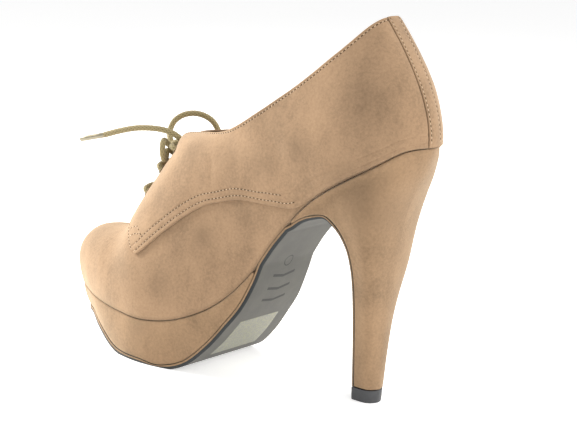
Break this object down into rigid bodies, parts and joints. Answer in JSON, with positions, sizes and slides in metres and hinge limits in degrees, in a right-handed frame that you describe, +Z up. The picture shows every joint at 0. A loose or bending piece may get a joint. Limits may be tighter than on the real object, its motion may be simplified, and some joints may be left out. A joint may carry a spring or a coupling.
{
  "type": "lace up platform heel shoe",
  "caption": "Suede lace up shoe with a hidden-seam platform, curved waist, tall tapering block-backed stiletto heel and round cord lace.",
  "frame": {"origin": "on the floor under the ball of the foot, in the middle of the sole's flat tread", "axes": "+X toward the toe, +Y toward the shoe's outer side, which is its wearer's left, +Z up"},
  "size_m": [0.2331, 0.0776, 0.2018],
  "materials": {
    "suede": "napped suede, taupe",
    "heel_suede": "napped suede over a rigid core, darker taupe",
    "sole_rubber": "matt grey with a dark edge",
    "lift_rubber": "satin, near black",
    "lining": "smooth lining, light tan",
    "lace": "round woven cord, olive taupe",
    "metal": "dull antique metal"
  },
  "bodies": {
    "root": {"upper": "suede", "quarter_outer": "suede", "quarter_inner": "suede", "backstay": "suede", "tongue": "suede", "insole": "lining", "platform": "heel_suede", "outsole": "sole_rubber", "heel": "heel_suede", "top_lift": "lift_rubber", "eyelet_outer_1": "metal", "eyelet_outer_2": "metal", "eyelet_outer_3": "metal", "eyelet_inner_1": "metal", "eyelet_inner_2": "metal", "eyelet_inner_3": "metal", "lace_bar_1": "lace", "lace_bar_2": "lace", "lace_knot": "lace", "lace_loop_inner": "lace", "lace_loop_outer": "lace", "lace_end": "lace", "lace_aglet": "metal"}
  },
  "joints": []
}
